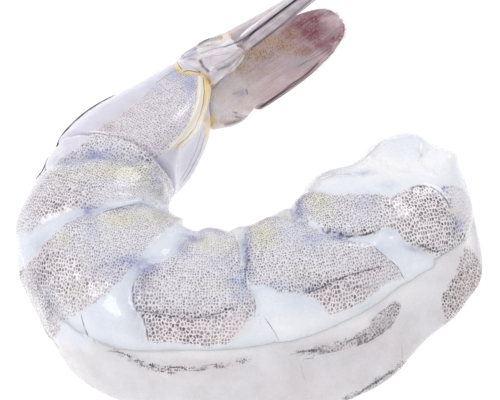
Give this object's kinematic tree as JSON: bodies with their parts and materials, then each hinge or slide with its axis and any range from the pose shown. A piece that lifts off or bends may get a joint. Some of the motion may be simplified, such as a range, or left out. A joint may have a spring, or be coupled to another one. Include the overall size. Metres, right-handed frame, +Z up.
{
  "type": "peeled prawn",
  "caption": "Raw peeled prawn with its tail fan on, slit open along the back to clean it, curled on its side.",
  "frame": {"origin": "on the surface the prawn lies on, under the middle of its outline", "axes": "+Z up, to the prawn's left side; +Y from its back towards the tip of the tail; +X towards the neck"},
  "size_m": [0.0694, 0.0802, 0.0201],
  "materials": {
    "flesh": "wet raw flesh, bluish white and slightly translucent, with fine grey-brown pigment dots",
    "tail_shell": "thin glossy shell over pale flesh, dotted, with yellow and blue near its rear edge",
    "tail_fan": "wet horny leaves, pinkish grey with a tan middle, finely pored and ribbed"
  },
  "bodies": {
    "root": {"flesh": "flesh", "tail_segment": "tail_shell", "telson": "tail_fan", "uropod_base_left": "tail_fan", "uropod_base_right": "tail_fan", "endopod_left": "tail_fan", "endopod_right": "tail_fan", "exopod_left": "tail_fan", "exopod_right": "tail_fan"}
  },
  "joints": []
}
